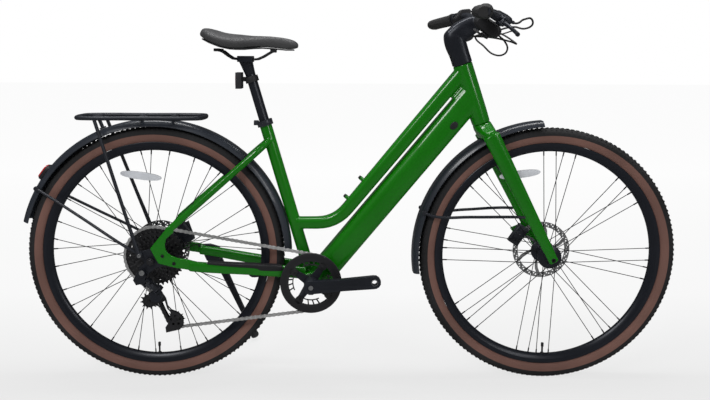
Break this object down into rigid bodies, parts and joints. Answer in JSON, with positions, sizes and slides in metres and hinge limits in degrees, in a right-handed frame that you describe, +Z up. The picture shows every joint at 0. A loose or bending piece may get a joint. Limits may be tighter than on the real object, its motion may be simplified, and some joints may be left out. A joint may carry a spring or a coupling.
{
  "type": "step-through bike",
  "caption": "Step-through utility bicycle with swept-back bar, rear hub motor, derailleur drive, disc brakes, full fenders, rear rack and side stand.",
  "frame": {"origin": "middle of the footprint on the ground", "axes": "+X forward, +Y to the rider's left, +Z up"},
  "size_m": [1.781, 0.638, 1.029],
  "materials": {
    "green_paint": "gloss",
    "satin_black": "satin",
    "black_plastic": "matte",
    "black_rubber": "matte",
    "steel": "satin",
    "dark_steel": "satin",
    "tyre": "matte",
    "red_lens": "gloss"
  },
  "bodies": {
    "frame": {"frame": "green_paint", "dropout_insert_right": "satin_black", "rear_axle": "dark_steel", "bottom_bracket": "dark_steel", "seat_clamp": "satin_black", "chainstay_guard": "black_rubber", "headset_upper_bearing": "steel", "headset_lower_bearing": "steel", "rear_fender": "black_plastic", "rear_fender_stay": "satin_black", "rack": "satin_black", "kickstand_mount": "satin_black", "rear_brake_caliper": "satin_black", "derailleur_mount": "satin_black", "chain": "steel"},
    "seat": {"seat_post": "satin_black", "saddle_shell": "black_plastic", "saddle_pad": "black_rubber", "post_reflector": "red_lens"},
    "steering": {"fork": "green_paint", "stem": "satin_black", "handlebar": "satin_black", "grip_left": "black_rubber", "grip_right": "black_rubber", "brake_body_left": "satin_black", "brake_body_right": "satin_black", "shifter": "black_plastic", "control_unit": "black_plastic", "front_brake_caliper": "satin_black", "front_fender": "black_plastic", "front_fender_stay": "satin_black", "front_axle": "dark_steel", "brake_hose_left": "black_rubber", "brake_hose_right": "black_rubber", "shift_housing": "black_rubber", "control_cable": "black_rubber"},
    "lever_left": {"brake_lever_left": "satin_black"},
    "lever_right": {"brake_lever_right": "satin_black"},
    "shift_trigger": {"shift_lever": "black_plastic"},
    "front_wheel": {"front_tyre": "tyre", "front_rim": "satin_black", "front_hub": "satin_black", "front_rotor": "steel"},
    "rear_wheel": {"rear_tyre": "tyre", "rear_rim": "satin_black", "rear_hub": "satin_black", "rear_rotor": "steel"},
    "crank": {"crank_right": "satin_black", "crank_left": "satin_black", "crank_spindle": "steel", "chainring": "dark_steel", "chain_guard": "black_plastic"},
    "cassette": {"cassette": "dark_steel"},
    "link_outer": {"derailleur_link_outer": "satin_black"},
    "link_inner": {"derailleur_link_inner": "satin_black"},
    "knuckle": {"derailleur_knuckle": "satin_black"},
    "cage": {"derailleur_cage": "dark_steel"},
    "guide_pulley": {"guide_pulley": "black_plastic"},
    "tension_pulley": {"tension_pulley": "black_plastic"},
    "kickstand": {"kickstand_leg": "satin_black"}
  },
  "joints": [
    {"name": "steering", "type": "hinge", "parent": "frame", "child": "steering", "pos_m": [0.29725, 0, 0.872], "axis": [0.3256, 0, -0.9455], "range_deg": [-60, 60]},
    {"name": "seat_height", "type": "slide", "parent": "frame", "child": "seat", "axis": [-0.2823, 0, 0.9593], "range_m": [-0.07, 0.1]},
    {"name": "front_wheel_spin", "type": "hinge", "parent": "steering", "child": "front_wheel", "pos_m": [0.54146, 0, 0.351], "axis": [0, 1, 0], "continuous": true},
    {"name": "rear_wheel_spin", "type": "hinge", "parent": "frame", "child": "rear_wheel", "pos_m": [-0.53104, 0, 0.351], "axis": [0, 1, 0], "continuous": true},
    {"name": "crank_spin", "type": "hinge", "parent": "frame", "child": "crank", "pos_m": [-0.10705, 0, 0.285], "axis": [0, 1, 0], "continuous": true, "deforming": ["chain"]},
    {"name": "cassette_spin", "type": "hinge", "parent": "frame", "child": "cassette", "pos_m": [-0.53104, 0, 0.351], "axis": [0, 1, 0], "continuous": true, "deforming": ["chain"]},
    {"name": "derailleur_swing", "type": "hinge", "parent": "frame", "child": "link_outer", "pos_m": [-0.53804, -0.086, 0.293], "axis": [0.7546, 0, 0.6562], "range_deg": [-50, 2], "deforming": ["chain"]},
    {"name": "inner_link_swing", "type": "hinge", "parent": "frame", "child": "link_inner", "pos_m": [-0.53804, -0.074, 0.293], "axis": [0.7546, 0, 0.6562], "range_deg": [-50, 2], "deforming": ["chain"]},
    {"name": "knuckle_swing", "type": "hinge", "parent": "link_outer", "child": "knuckle", "pos_m": [-0.51804, -0.066, 0.27], "axis": [0.7546, 0, 0.6562], "range_deg": [-2, 50], "deforming": ["chain"]},
    {"name": "cage_swing", "type": "hinge", "parent": "knuckle", "child": "cage", "pos_m": [-0.52304, -0.05, 0.247], "axis": [0, 1, 0], "range_deg": [-12, 28], "stiffness_Nm_per_rad": 1.2, "deforming": ["chain"]},
    {"name": "guide_pulley_spin", "type": "hinge", "parent": "cage", "child": "guide_pulley", "pos_m": [-0.54905, -0.03, 0.225], "axis": [0, 1, 0], "continuous": true, "deforming": ["chain"]},
    {"name": "tension_pulley_spin", "type": "hinge", "parent": "cage", "child": "tension_pulley", "pos_m": [-0.4766, -0.03, 0.1733], "axis": [0, 1, 0], "continuous": true, "deforming": ["chain"]},
    {"name": "brake_lever_left_pull", "type": "hinge", "parent": "steering", "child": "lever_left", "pos_m": [0.34143, 0.178, 0.97817], "axis": [0.5446, 0, 0.8387], "range_deg": [0, 18], "stiffness_Nm_per_rad": 0.8, "springref_deg": -14.32},
    {"name": "brake_lever_right_pull", "type": "hinge", "parent": "steering", "child": "lever_right", "pos_m": [0.34143, -0.178, 0.97817], "axis": [-0.5446, 0, -0.8387], "range_deg": [0, 18], "stiffness_Nm_per_rad": 0.8, "springref_deg": -14.32},
    {"name": "shift_lever_push", "type": "hinge", "parent": "steering", "child": "shift_trigger", "pos_m": [0.30046, -0.134, 0.95719], "axis": [0.5446, 0, 0.8387], "range_deg": [0, 25], "stiffness_Nm_per_rad": 0.3, "springref_deg": -17.19},
    {"name": "kickstand_swing", "type": "hinge", "parent": "frame", "child": "kickstand", "pos_m": [-0.38904, 0.093, 0.316], "axis": [0.0668, 0.895, 0.4411], "range_deg": [0, 110]}
  ],
  "couplings": [
    {"joint": "cassette_spin", "follows": "crank_spin", "ratio": 0.95},
    {"joint": "guide_pulley_spin", "follows": "crank_spin", "ratio": -3.4545},
    {"joint": "tension_pulley_spin", "follows": "crank_spin", "ratio": 3.4545},
    {"joint": "inner_link_swing", "follows": "derailleur_swing", "ratio": 1},
    {"joint": "knuckle_swing", "follows": "derailleur_swing", "ratio": -1}
  ]
}
